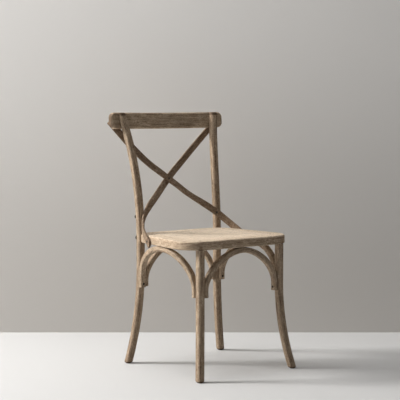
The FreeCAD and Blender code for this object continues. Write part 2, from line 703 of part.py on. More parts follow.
half_cross = "(slat_thickness + slat_cross_gap) / 2"
SLATS = {"back_slat_front": (1, "right", value_of(half_cross)),
         "back_slat_rear": (-1, "left", -value_of(half_cross))}
for name, (side, word, shift) in SLATS.items():
    blanks[name] = make_slat(name + "_blank", side, shift)


# Joinery: holes and seats that one piece cuts in another

cutters = {name: [] for name in blanks}
bores = {name: [] for name in blanks}


def bore(pieces, start, direction, radius, low, high):
    """A round hole in the pieces between two distances from start, along direction."""
    hole = doc.addObject("Part::Cylinder", "bore")
    bind(hole, "Radius", radius)
    bind(hole, "Height", f"({high}) - ({low})")
    hole.Placement = Placement(start + direction * value_of(low),
                               Rotation(Vector(0, 0, 1), direction))
    for piece in pieces:
        bores[piece].append(hole)


def finish_piece(name):
    """The blank less the pieces that are let into it and less its holes."""
    result = blanks[name]
    tools = list(cutters[name])
    if len(bores[name]) == 1:
        tools += bores[name]
    elif bores[name]:
        joined = doc.addObject("Part::MultiFuse", name + "_bores")
        joined.Shapes = bores[name]
        tools.append(joined)
    for tool in tools:
        feature = doc.addObject("Part::Cut", name)
        feature.Base = result
        feature.Tool = tool
        result = feature
    result.Label = name
    nodes[name] = result


for side, word in sides:
    notch = new_body("notch_" + word)
    outline = new_sketch(notch, "outline", f"{side} * rear_leg_x", "rear_leg_y",
                         "seat_underside - cut_past")
    draw_rounded_rectangle(outline, "leg_width + 2 * fit_gap", "leg_width + 2 * fit_gap",
                           "leg_round + fit_gap")
    pad(notch, "notch", outline, "seat_thickness + 2 * cut_past")
    cutters["seat_ring"].append(notch)
    cutters["rear_leg_" + word].append(blanks["top_rail"])
cutters["seat_ring"].append(seat_prism("opening", "ring_width", "seat_underside - cut_past",
                                       "seat_thickness + 2 * cut_past"))
cutters["seat_ring"].append(seat_prism("rebate", "ring_width - panel_lap",
                                       f"{SEAT_TOP} - panel_thickness",
                                       "panel_thickness + cut_past"))
for name, (side, word, shift) in SLATS.items():
    bed = doc.addObject("Part::Feature", name + "_bed")
    bed.Label = name + "_bed"
    bed.Shape = slat_solid(side, shift, value_of("touch_gap"))
    for piece in ("rear_leg_" + word, "top_rail", "seat_ring"):
        cutters[piece].append(bed)


# Fasteners: a model of each kind with its bearing face at the origin, head up, shank down

def make_fastener(name, head_radius, head_height, shank_radius, length, round_share, socket=True):
    body = new_body(name)
    head = body.newObject("PartDesign::AdditiveCylinder", "head")
    bind(head, "Radius", head_radius)
    bind(head, "Height", head_height)
    rim = edges_of(body, lambda edge: is_level(edge, value_of(head_height)))
    fillet(body, "rim", head, rim, f"({head_height}) * {round_share}")
    if socket:
        recess = body.newObject("PartDesign::SubtractivePrism", "socket")
        recess.Polygon = 6
        bind(recess, "Circumradius", "socket_radius")
        bind(recess, "Height", "socket_depth + cut_past")
        bind(recess, "Placement.Base.z", f"{head_height} - socket_depth")
    shank = body.newObject("PartDesign::AdditiveCylinder", "shank")
    bind(shank, "Radius", shank_radius)
    bind(shank, "Height", length)
    bind(shank, "Placement.Base.z", f"-({length})")
    return body


def group(name, model, places):
    """Copies of one model as a node: places are pairs of a point and the head's direction."""
    links = []
    for point, direction in places:
        link = doc.addObject("App::Link", name + "_copy")
        link.LinkedObject = model
        link.Placement = Placement(point, Rotation(Vector(0, 0, 1), direction))
        links.append(link)
    node = doc.addObject("Part::Compound", name)
    node.Label = name
    node.Links = links
    nodes[name] = node


def point(x, y, z):
    return Vector(value_of(x), value_of(y), value_of(z))


def drill(pieces, places, shank_radius, length, head_radius, depth, headed):
    """Shank holes through the pieces, and room for the heads in the ones that are headed."""
    for start, direction in places:
        bore(pieces, start, direction, f"{shank_radius} + touch_gap", f"-({length}) - touch_gap",
             "cut_past")
        if depth:
            bore(headed, start, direction, f"{head_radius} + fit_gap", "0", depth)


# Screws through the arches' ends into the legs

ARCH_SCREW_Z = "(arch_end + arch_screw_rise)"
ARCH_SCREW_LENGTH = "(arch_end_height - screw_recess + touch_gap + arch_screw_grip)"
FACE_TO_HEAD = "(leg_width / 2 + touch_gap + arch_end_height - screw_recess)"
leg_screw_places = []
for side, word in sides:
    for kind, y in (("front", "front_leg_y"), ("rear", "rear_leg_y")):
        lean = leg_lean(kind, "x", ARCH_SCREW_Z)
        x = f"{side} * ({kind}_leg_x + {lean} - {FACE_TO_HEAD})"
        place = (point(x, y, ARCH_SCREW_Z), Vector(-side, 0, 0))
        drill([f"{kind}_arch", f"{kind}_leg_{word}"], [place], "screw_radius", ARCH_SCREW_LENGTH,
              "screw_head_radius", "2 * screw_recess", [f"{kind}_arch"])
        leg_screw_places.append(place)
        inward = 1 if kind == "front" else -1
        lean = leg_lean(kind, "y", ARCH_SCREW_Z)
        depth = f"{y} - {inward} * ({lean} - {FACE_TO_HEAD})"
        place = (point(f"{side} * {SIDE_ARCH_X}", depth, ARCH_SCREW_Z), Vector(0, inward, 0))
        drill(["side_arch_" + word, f"{kind}_leg_{word}"], [place], "screw_radius",
              ARCH_SCREW_LENGTH, "screw_head_radius", "2 * screw_recess", ["side_arch_" + word])
        leg_screw_places.append(place)
model = make_fastener("leg_screw", "screw_head_radius", "screw_head_height", "screw_radius",
                      ARCH_SCREW_LENGTH, "screw_head_edge")
group("arch_leg_screws", model, leg_screw_places)

# Screws up through the arches' crowns into the seat

CROWN_LENGTH = "(arch_height - screw_recess + touch_gap + crown_screw_grip)"
crown_z = "seat_underside - touch_gap - arch_height + screw_recess"
side_crown_x = f"({SIDE_ARCH_X} + side_arch_out)"
side_crown_y = "(front_leg_y + rear_leg_y) / 2"
crowns = {"front_arch": ("0", "front_leg_y - front_arch_out"), "rear_arch": ("0", "rear_leg_y"),
          "side_arch_left": (f"-{side_crown_x}", side_crown_y),
          "side_arch_right": (side_crown_x, side_crown_y)}
crown_places = []
for name, (x, y) in crowns.items():
    place = (point(x, y, crown_z), Vector(0, 0, -1))
    drill([name, "seat_ring"], [place], "screw_radius", CROWN_LENGTH,
          "screw_head_radius", "2 * screw_recess", [name])
    crown_places.append(place)
model = make_fastener("crown_screw", "screw_head_radius", "screw_head_height", "screw_radius",
                      CROWN_LENGTH, "screw_head_edge")
group("arch_seat_screws", model, crown_places)


def corner_reach(turn):
    """How far a leg's outline reaches from its centre in a direction, in degrees."""
    return f"((leg_width / 2 - leg_round) * (sin({turn}) + cos({turn})) + leg_round)"


# Bolts from the posts' outer corners into the seat

POST_OUT, POST_BACK = rear_leg_line("seat_bolt_z")
SEAT_BOLT_LENGTH = f"({corner_reach('seat_bolt_turn')} - spot_face + seat_bolt_reach)"
seat_bolt_places = []
for side, word in sides:
    turn = math.radians(value_of("seat_bolt_turn"))
    direction = Vector(side * math.sin(turn), math.cos(turn), 0)
    centre = point(f"{side} * {POST_OUT}", POST_BACK, "seat_bolt_z")
    place = (centre + direction * value_of(f"{corner_reach('seat_bolt_turn')} - spot_face"), direction)
    drill(["rear_leg_" + word, "seat_ring"], [place], "bolt_radius", SEAT_BOLT_LENGTH,
          "bolt_head_radius", "bolt_head_height", ["rear_leg_" + word])
    seat_bolt_places.append(place)
model = make_fastener("seat_bolt", "bolt_head_radius", "bolt_head_height", "bolt_radius",
                      SEAT_BOLT_LENGTH, "dome_edge")
group("rear_leg_bolts", model, seat_bolt_places)

# Bolts through the slats and the posts, with domed nuts behind

SLAT_OUT, SLAT_BACK = rear_leg_line("slat_post_z")
BOLT_FRONT = f"({corner_reach('slat_post_turn')} - slat_bed + slat_thickness - bolt_recess)"
BOLT_REAR = f"({corner_reach('slat_post_turn')} - spot_face)"
POST_BOLT_LENGTH = f"({BOLT_FRONT} + {BOLT_REAR} + nut_height / 2)"
post_bolt_places = []
post_nut_places = []
for name, (side, word, shift) in SLATS.items():
    turn = math.radians(value_of("slat_post_turn"))
    direction = Vector(-side * math.sin(turn), -math.cos(turn), 0)
    centre = point(f"{side} * {SLAT_OUT}", SLAT_BACK, "slat_post_z")
    place = (centre + direction * value_of(BOLT_FRONT), direction)
    drill([name, "rear_leg_" + word], [place], "screw_radius", POST_BOLT_LENGTH,
          "screw_head_radius", "2 * bolt_recess", [name])
    post_bolt_places.append(place)
    nut_place = (centre - direction * value_of(BOLT_REAR), direction * -1)
    bore(["rear_leg_" + word], *nut_place, "nut_radius + fit_gap", "0", "nut_height")
    post_nut_places.append(nut_place)
model = make_fastener("post_bolt", "screw_head_radius", "screw_head_height", "screw_radius",
                      POST_BOLT_LENGTH, "screw_head_edge")
group("slat_post_bolts", model, post_bolt_places)


def make_nut(name):
    """A domed nut, open below, for a bolt that ends halfway through it."""
    body = new_body(name)
    dome = body.newObject("PartDesign::AdditiveCylinder", "dome")
    bind(dome, "Radius", "nut_radius")
    bind(dome, "Height", "nut_height")
    rim = edges_of(body, lambda edge: is_level(edge, value_of("nut_height")))
    fillet(body, "rim", dome, rim, "nut_height * dome_edge")
    thread = body.newObject("PartDesign::SubtractiveCylinder", "thread")
    bind(thread, "Radius", "screw_radius + touch_gap")
    bind(thread, "Height", "nut_height / 2 + touch_gap")
    return body


nut = make_nut("nut")
group("slat_post_nuts", nut, post_nut_places)

# Screws through the slats' lower ends into the seat's sides

SEAT_SCREW_LENGTH = "(slat_thickness - spot_face + touch_gap + seat_screw_grip)"
side_turn = math.atan(value_of(SEAT_SLOPE))
seat_screw_places = []
for name, (side, word, shift) in SLATS.items():
    direction = Vector(side * math.cos(side_turn), math.sin(side_turn), 0)
    seat_point = point(f"{side} * {seat_half('slat_screw_y')}", "slat_screw_y", "slat_screw_z")
    place = (seat_point + direction * value_of("slat_thickness + touch_gap - spot_face"), direction)
    drill([name, "seat_ring"], [place], "screw_radius", SEAT_SCREW_LENGTH,
          "screw_head_radius", "2 * screw_recess", [name])
    seat_screw_places.append(place)
model = make_fastener("slat_screw", "screw_head_radius", "screw_head_height", "screw_radius",
                      SEAT_SCREW_LENGTH, "dome_edge")
group("slat_seat_screws", model, seat_screw_places)

# Bolts through the slats' upper ends into the rail's back

RAIL_BOLT_LENGTH = "(slat_thickness - spot_face + touch_gap + rail_bolt_grip)"
rail_bolt_places = []
for name, (side, word, shift) in SLATS.items():
    tilt = math.radians(value_of("rail_tilt"))
    direction = Vector(0, math.cos(tilt), -math.sin(tilt))
    rail_point = point(f"-{side} * slat_top_x", rail_face("slat_top_x", "slat_top_z", 1), "slat_top_z")
    place = (rail_point + direction * value_of("slat_thickness + touch_gap - spot_face"), direction)
    drill([name, "top_rail"], [place], "screw_radius", RAIL_BOLT_LENGTH,
          "bolt_head_radius", "bolt_head_height", [name])
    rail_bolt_places.append(place)
model = make_fastener("rail_bolt", "bolt_head_radius", "bolt_head_height", "screw_radius",
                      RAIL_BOLT_LENGTH, "dome_edge")
group("slat_rail_bolts", model, rail_bolt_places)

# Screws from behind through the rail into the posts

RAIL_SCREW_LENGTH = "(rail_thickness - screw_recess + rail_screw_grip)"
rail_screw_places = []
for side, word in sides:
    for height in ("rail_screw_low", "rail_screw_high"):
        out, back = rear_leg_line(height)
        start = point(f"{side} * {out}", rail_face(out, height, 1) + " - screw_recess", height)
        place = (start, Vector(0, 1, 0))
        drill(["top_rail", "rear_leg_" + word], [place], "screw_radius", RAIL_SCREW_LENGTH,
              "screw_head_radius", "2 * screw_recess", ["top_rail"])
        rail_screw_places.append(place)
model = make_fastener("rail_screw", "screw_head_radius", "screw_head_height", "screw_radius",
                      RAIL_SCREW_LENGTH, "screw_head_edge")
group("rail_screws", model, rail_screw_places)

# The bolt and nut where the slats cross

cross_frame = min(slat_frames(0), key=lambda frame: abs(frame[0].x))
cross_point, cross_face = cross_frame[0], cross_frame[2]
CROSS_FRONT = f"({half_cross} + slat_thickness / 2 - bolt_recess)"
CROSS_REAR = f"({half_cross} + slat_thickness / 2 - spot_face)"
CROSS_LENGTH = f"({CROSS_FRONT} + {CROSS_REAR} + nut_height / 2)"
cross_place = (cross_point + cross_face * value_of(CROSS_FRONT), cross_face)
drill(list(SLATS), [cross_place], "screw_radius", CROSS_LENGTH,
      "screw_head_radius", "2 * bolt_recess", ["back_slat_front"])
cross_nut_place = (cross_point - cross_face * value_of(CROSS_REAR), cross_face * -1)
bore(["back_slat_rear"], *cross_nut_place, "nut_radius + fit_gap", "0", "nut_height")
model = make_fastener("cross_bolt", "screw_head_radius", "screw_head_height", "screw_radius",
                      CROSS_LENGTH, "screw_head_edge")
group("crossing_bolt", model, [cross_place])
group("crossing_nut", nut, [cross_nut_place])

# Screws down through the seat, hidden under wooden plugs

plug_places = []
for x, y, length, kind in (("plug_front_x", "plug_front_y", "plug_screw_length", "front"),
                           ("plug_rear_x", "plug_rear_y", "lap_screw_length", "rear")):
    screw_places = []
    for side, word in sides:
        place = (point(f"{side} * {x}", y, f"{SEAT_TOP} - plug_depth"), Vector(0, 0, 1))
        pieces = ["seat_ring"] + (["front_leg_" + word] if kind == "front" else [])
        drill(pieces, [place], "screw_radius", length, "plug_radius + touch_gap - fit_gap",
              "plug_depth + cut_past", ["seat_ring"])
        screw_places.append(place)
        plug_places.append((point(f"{side} * {x}", y, f"{SEAT_TOP} - plug_height"), Vector(0, 0, 1)))
    model = make_fastener(kind + "_plug_screw", "screw_head_radius", "screw_head_height",
                          "screw_radius", length, "screw_head_edge")
    group({"front": "front_leg_screws", "rear": "seat_lap_screws"}[kind], model, screw_places)
plug = new_body("plug")
plug_disc = plug.newObject("PartDesign::AdditiveCylinder", "disc")
bind(plug_disc, "Radius", "plug_radius")
bind(plug_disc, "Height", "plug_height")
group("seat_plugs", plug, plug_places)

# Screws up through the ring's ledge into the panel

LEDGE = "(ring_width - panel_lap / 2)"
PANEL_SCREW_LENGTH = "(seat_thickness - panel_thickness - screw_recess + panel_screw_grip)"
panel_places = []
for side, word in sides:
    for step in (-1, 1):
        depth = f"({SEAT_MIDDLE} + {step} * panel_screw_spread)"
        spots = [(f"{side} * {seat_half(depth, LEDGE)}", depth)]
        rim = f"seat_front_y + {LEDGE}" if step < 0 else f"seat_rear_y - {LEDGE}"
        spots.append((f"{side} * panel_screw_spread", rim))
        for x, y in spots:
            panel_places.append((point(x, y, "seat_underside + screw_recess"), Vector(0, 0, -1)))
drill(["seat_ring", "seat_panel"], panel_places, "panel_screw_radius", PANEL_SCREW_LENGTH,
      "panel_screw_head", "2 * screw_recess", ["seat_ring"])
model = make_fastener("panel_screw", "panel_screw_head", "screw_head_height", "panel_screw_radius",
                      PANEL_SCREW_LENGTH, "screw_head_edge")
group("panel_screws", model, panel_places)

# Glides: a disc under each foot with a stem in the leg

glide = new_body("glide")
glide_disc = glide.newObject("PartDesign::AdditiveCylinder", "disc")
bind(glide_disc, "Radius", "glide_radius")
bind(glide_disc, "Height", "glide_height")
glide_stem = glide.newObject("PartDesign::AdditiveCylinder", "stem")
bind(glide_stem, "Radius", "glide_stem_radius")
bind(glide_stem, "Height", "glide_height + glide_stem_length")
glide_places = []
for side, word in sides:
    for kind, line in (("front", front_leg_line), ("rear", rear_leg_line)):
        out, back = line("glide_height")
        place = (point(f"{side} * {out}", back, "0"), Vector(0, 0, 1))
        bore([f"{kind}_leg_{word}"], *place, "glide_stem_radius + touch_gap", "0",
             "glide_height + glide_stem_length + touch_gap")
        glide_places.append(place)
group("foot_glides", glide, glide_places)

# Front leg tenons in the seat

for side, word in sides:
    bore(["seat_ring"], point(f"{side} * front_leg_x", "front_leg_y", "seat_underside"),
         Vector(0, 0, 1), "tenon_radius + fit_gap", "-cut_past", "tenon_length + fit_gap")

for name in blanks:
    finish_piece(name)

# Checks, then one file for each node

doc.recompute()
for item in doc.Objects:
    if {"Invalid", "Error"} & set(item.State):
        raise RuntimeError(f"{item.Label} failed: {item.State}")
for name, item in nodes.items():
    if item.Shape.isNull() or not item.Shape.isValid() or not item.Shape.Solids:
        raise RuntimeError(f"{name} has no valid solid")
os.makedirs("parts", exist_ok=True)
for name, item in nodes.items():
    item.Shape.exportStep(f"parts/{name}.step")
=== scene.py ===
import math
from collections import namedtuple

import bpy
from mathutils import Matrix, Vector

# A cross back dining chair in weathered oak. Metres; the chair faces -Y and stands on Z 0.

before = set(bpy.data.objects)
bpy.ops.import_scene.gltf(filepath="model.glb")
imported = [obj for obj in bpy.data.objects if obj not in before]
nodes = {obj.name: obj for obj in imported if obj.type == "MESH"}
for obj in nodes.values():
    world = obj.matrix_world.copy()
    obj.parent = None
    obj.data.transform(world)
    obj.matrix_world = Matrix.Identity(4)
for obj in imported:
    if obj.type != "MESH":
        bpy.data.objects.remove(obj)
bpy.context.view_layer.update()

# Bends of the pieces, as the solids have them, for the run of the grain

LEG_BENDS = {
    "front": {"bend": 0.300, "splay": (0.030, -0.038)},
    "rear": {"bend": 0.340, "splay": (0.037, 0.026)},
}
POST = {"bend": 0.450, "height": 0.430, "lean": (0.034, 0.070), "power": (2.6, 1.75)}
ARCH_SPRING = 0.300
ARCH_RADIUS = 0.140
SIDE_ARCH_MIDDLE_Y = -0.0295
RAIL_BOW = 1.5
SEAT_MIDDLE_Y = -0.036
SEAT_HALF_WIDTH = 0.226
SEAT_HALF_DEPTH = 0.187
SEAT_ROUNDNESS = 4

# Unit vectors across a slat's face, through it and along it: on its straight run behind the
# posts, and where it is wrapped along the seat's side. The one turns into the other from the
# meeting point forward to the wrapped Y.

SLAT_STRAIGHT = (Vector((0.641, 0, 0.768)), Vector((0, 1, 0)), Vector((0.768, 0, -0.641)))
SLAT_WRAPPED = (Vector((0, -0.655, 0.755)), Vector((1, 0, 0)), Vector((0, -0.755, -0.655)))
SLAT_MEETING = Vector((0.185, 0.105, 0.490))
SLAT_WRAPPED_Y = 0.080

X_AXIS = (1, 0, 0)
Z_AXIS = (0, 0, 1)

# Sockets of the Mix node that are for colours

MIX_FIRST = 6
MIX_SECOND = 7
MIX_RESULT = 2

# Colours, as linear values

OAK_DARK = (0.090, 0.044, 0.020)
OAK_MID = (0.290, 0.174, 0.092)
OAK_PALE = (0.530, 0.374, 0.238)
OAK_GREY = (0.370, 0.288, 0.204)
OAK_WORN = (0.680, 0.545, 0.400)
# The dark of end grain, also used for the painted shade in the seams
OAK_END_GRAIN_AND_SEAM_SHADE = (0.070, 0.038, 0.019)
OAK_SEAT = (0.690, 0.635, 0.550)
PORE = (0.060, 0.038, 0.022)
BLACK_STEEL = (0.012, 0.011, 0.010)
DARK_ZINC = (0.07, 0.066, 0.062)
DARK_NYLON = (0.030, 0.026, 0.022)

# Noises of the oak. A scale is in lumps per metre, twice across the grain and once along it;
# those that sway follow the slow drift of the grain.

Texture = namedtuple("Texture", "scale detail roughness seed_step sways")
SEED_STEPS = (1.0, 1.7, 0.6)
DRIFT_SCALE = (14, 14, 2.2)
DRIFT = 0.016
OAK_TEXTURES = {
    "bands": Texture((130, 130, 3.4), 4, 0.65, 3, True),
    "streaks": Texture((520, 520, 10), 4, 0.65, 7, True),
    "fibres": Texture((1500, 1500, 34), 3, 0.65, 9, False),
    "pores": Texture((1900, 1900, 95), 2, 0.50, 11, True),
    "flecks": Texture((340, 340, 190), 2, 0.60, 5, False),
    "mottle": Texture((105, 105, 46), 4, 0.70, 13, False),
    "blotch": Texture((24, 24, 9), 4, 0.60, 17, False),
}

# Tones laid over the oak's first colour, in this order. Each rises from nothing where its noise
# is at start to its strength where the noise is at full. A pale piece takes pale_loss off the
# strength, and a darkened piece, partly stained and partly painted with shade, takes a share of
# its loss off it.

Tone = namedtuple("Tone", "noise start full strength pale_loss stain_loss colour")
OAK_TONES = (
    Tone("streaks", 0.54, 0.38, 0.70, 0.50, 0.0, OAK_DARK),
    Tone("mottle", 0.52, 0.38, 0.78, 0.75, 0.0, OAK_DARK),
    Tone("mottle", 0.52, 0.66, 0.70, 0.0, 0.7, OAK_WORN),
    Tone("flecks", 0.50, 0.36, 0.60, 0.50, 0.0, OAK_DARK),
    Tone("flecks", 0.52, 0.68, 0.45, 0.0, 0.7, OAK_WORN),
    Tone("fibres", 0.55, 0.30, 0.45, 0.0, 0.0, OAK_DARK),
)

# Other fades, from nothing at start to their strength at full

Fade = namedtuple("Fade", "start full strength")
BAND_FADE = Fade(0.38, 0.62, 1.0)
BLOTCH_FADE = Fade(0.38, 0.66, 1.0)
PORE_FADE = Fade(0.58, 0.66, 1.0)
PORE_TONE = 0.7
# Painted shade on the upright faces of the seat ring
FLANK_SHADE_FADE = Fade(0.80, 0.40, 1.0)
WORN_EDGE_REACH = 0.006
WORN_EDGE_FADE = Fade(0.30, 0.75, 0.6)
WORN_STREAK_FADE = Fade(0.30, 0.60, 1.0)
WORN_STAIN_AND_SHADE_LOSS = 0.7
END_FADE = Fade(0.45, 0.85, 0.75)
FOOT_FADE = Fade(0.42, 0.05, 0.22)
FOOT_RIM_FADE = Fade(0.010, 0.0, 0.7)
TIP_FADE = Fade(0.872, 0.876, 0.8)
TIP_RAGGEDNESS = 0.008
# Painted shade in the seams between pieces, where shade falls
SEAM_SHADE_REACH = 0.010
SEAM_SHADE_FADE = Fade(0.45, 0.95, 0.7)
NEARNESS_SAMPLES = 8

# Shine and relief of the oak

OAK_ROUGHNESS = 0.6
OAK_ROUGHNESS_SPREAD = 0.2
OAK_SPECULAR = 0.2
OAK_BUMP = {"strength": 0.7, "distance": 0.0007}
BAND_RELIEF = 0.2
PORE_RELIEF = -0.9
OAK_RELIEF = {"streaks": 0.6, "fibres": 0.4, "mottle": 0.4, "flecks": 0.3}

# Wear of the metal and nylon

WEAR_SCALE = (420, 420, 420)
WEAR_SEED = 2.0
WEAR_FADE = Fade(0.45, 0.75, 0.5)
WEAR_GAIN = 2.2
WEAR_LIFT = 0.01
METAL_BUMP = {"strength": 0.2, "distance": 0.0002}


class Num:
    """A number on a socket of a node tree, so that formulas read as formulas."""

    def __init__(self, tree, socket):
        self.tree = tree
        self.socket = socket

    def feed(self, socket):
        self.tree.links.new(self.socket, socket)

    def math(self, operation, other=None):
        node = self.tree.nodes.new("ShaderNodeMath")
        node.operation = operation
        for slot, value in enumerate((self, other)):
            if isinstance(value, Num):
                value.feed(node.inputs[slot])
            elif value is not None:
                node.inputs[slot].default_value = value
        return Num(self.tree, node.outputs[0])

    def __add__(self, other):
        return self.math("ADD", other)

    def __sub__(self, other):
        return self.math("SUBTRACT", other)

    def __mul__(self, other):
        return self.math("MULTIPLY", other)

    def power(self, exponent):
        return self.math("POWER", exponent)

    def at_least(self, low):
        return self.math("MAXIMUM", low)

    def rest(self):
        """What is left of 1."""
        return self * (-1.0) + 1.0

    def ramp(self, start, full):
        """0 at start, 1 at full, smooth between, whichever of the two is the larger."""
        node = self.tree.nodes.new("ShaderNodeMapRange")
        node.interpolation_type = "SMOOTHSTEP"
        self.feed(node.inputs["Value"])
        node.inputs["From Min"].default_value = start
        node.inputs["From Max"].default_value = full
        return Num(self.tree, node.outputs["Result"])

    def fade(self, rule):
        ramp = self.ramp(rule.start, rule.full)
        return ramp if rule.strength == 1.0 else ramp * rule.strength


def object_place(tree):
    """The x, y and z of the point being shaded, in the chair's frame."""
    coordinates = tree.nodes.new("ShaderNodeTexCoord")
    split = tree.nodes.new("ShaderNodeSeparateXYZ")
    tree.links.new(coordinates.outputs["Object"], split.inputs[0])
    return [Num(tree, output) for output in split.outputs]


def join(tree, values):
    """One vector from three numbers."""
    node = tree.nodes.new("ShaderNodeCombineXYZ")
    for slot, value in enumerate(values):
        value.feed(node.inputs[slot])
    return node.outputs[0]


def noise(tree, vector, scale, detail, roughness=0.55, seed=0.0):
    """Noise stretched by a scale for each axis; the seed says which part of it is seen."""
    mapping = tree.nodes.new("ShaderNodeMapping")
    mapping.inputs["Scale"].default_value = scale
    mapping.inputs["Location"].default_value = [seed * step for step in SEED_STEPS]
    tree.links.new(vector, mapping.inputs["Vector"])
    texture = tree.nodes.new("ShaderNodeTexNoise")
    texture.inputs["Scale"].default_value = 1.0
    texture.inputs["Detail"].default_value = detail
    texture.inputs["Roughness"].default_value = roughness
    tree.links.new(mapping.outputs[0], texture.inputs["Vector"])
    return Num(tree, texture.outputs[0])


def blend_colours(tree, share, first, second):
    """A share of the second colour over the first; a colour is a socket or three numbers."""
    node = tree.nodes.new("ShaderNodeMix")
    node.data_type = "RGBA"
    if isinstance(share, Num):
        share.feed(node.inputs[0])
    else:
        node.inputs[0].default_value = share
    for slot, colour in ((MIX_FIRST, first), (MIX_SECOND, second)):
        if isinstance(colour, tuple):
            node.inputs[slot].default_value = (*colour, 1.0)
        else:
            tree.links.new(colour, node.inputs[slot])
    return node.outputs[MIX_RESULT]


def facing(tree, axis):
    """How squarely the surface looks along an axis of the object, 0 to 1."""
    coordinates = tree.nodes.new("ShaderNodeTexCoord")
    product = tree.nodes.new("ShaderNodeVectorMath")
    product.operation = "DOT_PRODUCT"
    tree.links.new(coordinates.outputs["Normal"], product.inputs[0])
    product.inputs[1].default_value = axis
    return Num(tree, product.outputs["Value"]).math("ABSOLUTE")


def nearness(tree, reach, inside):
    """0 to 1: inside, toward the convex edges of a piece; outside, in the seams between pieces."""
    node = tree.nodes.new("ShaderNodeAmbientOcclusion")
    node.inside = inside
    node.only_local = inside
    node.samples = NEARNESS_SAMPLES
    node.inputs["Distance"].default_value = reach
    open_share = Num(tree, node.outputs["AO"])
    return open_share if inside else open_share.rest()


def new_material(name):
    material = bpy.data.materials.new(name)
    material.use_nodes = True
    return material, material.node_tree, material.node_tree.nodes["Principled BSDF"]


def add_bump(tree, shader, relief, strength, distance):
    bump = tree.nodes.new("ShaderNodeBump")
    bump.inputs["Strength"].default_value = strength
    bump.inputs["Distance"].default_value = distance
    relief.feed(bump.inputs["Height"])
    tree.links.new(bump.outputs[0], shader.inputs["Normal"])


# Where the grain runs: each function gives two distances across it and one along it


def leg_grain(kind, side):
    """The grain follows the splayed foot and, on a rear leg, the post that leans back."""
    facts = LEG_BENDS[kind]

    def grain(x, y, z):
        drop = (z * (-1 / facts["bend"]) + 1.0).at_least(0).power(2)
        across = [x * side - drop * facts["splay"][0], y - drop * facts["splay"][1]]
        if kind == "rear":
            rise = ((z - POST["bend"]) * (1 / POST["height"])).at_least(0)
            across = [value - rise.power(power) * lean
                      for value, power, lean in zip(across, POST["power"], POST["lean"])]
        return across + [z]

    return grain


def rail_grain(x, y, z):
    """The grain follows the rail's bow, an arc of large radius."""
    bow = x * x * (1 / (2 * RAIL_BOW))
    return [z, y + bow, x]


def slat_grain(side):
    """The slat falls steadily, then turns forward and down along the seat's side."""

    def grain(x, y, z):
        wrapped = y.ramp(SLAT_MEETING.y, SLAT_WRAPPED_Y)
        outward = x * side
        values = []
        for first, second in zip(SLAT_STRAIGHT, SLAT_WRAPPED):
            steady = outward * first.x + y * first.y + z * first.z
            offset = SLAT_MEETING.dot(first - second)
            turned = outward * second.x + y * second.y + z * second.z + offset
            values.append(steady + (turned - steady) * wrapped)
        return values

    return grain


def arch_grain(span):
    """The grain follows the bend, as an angle about the arch's middle; span is its long axis."""

    def grain(x, y, z):
        flat, depth = (x, y) if span == "x" else (y - SIDE_ARCH_MIDDLE_Y, x)
        up = z - ARCH_SPRING
        radius = (flat * flat + up * up).math("SQRT")
        angle = flat.math("ARCTAN2", up)
        return [radius, depth, angle * ARCH_RADIUS]

    return grain


def seat_grain(x, y, z):
    """The seat's boards run from front to back."""
    return [x, z, y]


def ring_grain(x, y, z):
    """The grain follows the seat's rounded edge all the way round."""
    back = y - SEAT_MIDDLE_Y
    wide = (x * (1 / SEAT_HALF_WIDTH)).power(SEAT_ROUNDNESS)
    deep = (back * (1 / SEAT_HALF_DEPTH)).power(SEAT_ROUNDNESS)
    outward = (wide + deep).power(1 / SEAT_ROUNDNESS) * SEAT_HALF_DEPTH
    return [outward, z, x.math("ARCTAN2", back) * SEAT_HALF_WIDTH]


# Materials


def oak_noises(tree, place, seed, patch):
    """Every noise of the oak for one piece; patch makes the mottle coarser or finer."""
    run = join(tree, place)
    sway = noise(tree, run, DRIFT_SCALE, detail=2, seed=seed) * DRIFT
    swayed = join(tree, [place[0] + sway, place[1] + sway, place[2]])
    noises = {}
    for name, texture in OAK_TEXTURES.items():
        stretch = patch if name == "mottle" else 1
        noises[name] = noise(tree, swayed if texture.sways else run,
                             [value * stretch for value in texture.scale],
                             texture.detail, texture.roughness, seed + texture.seed_step)
    return noises


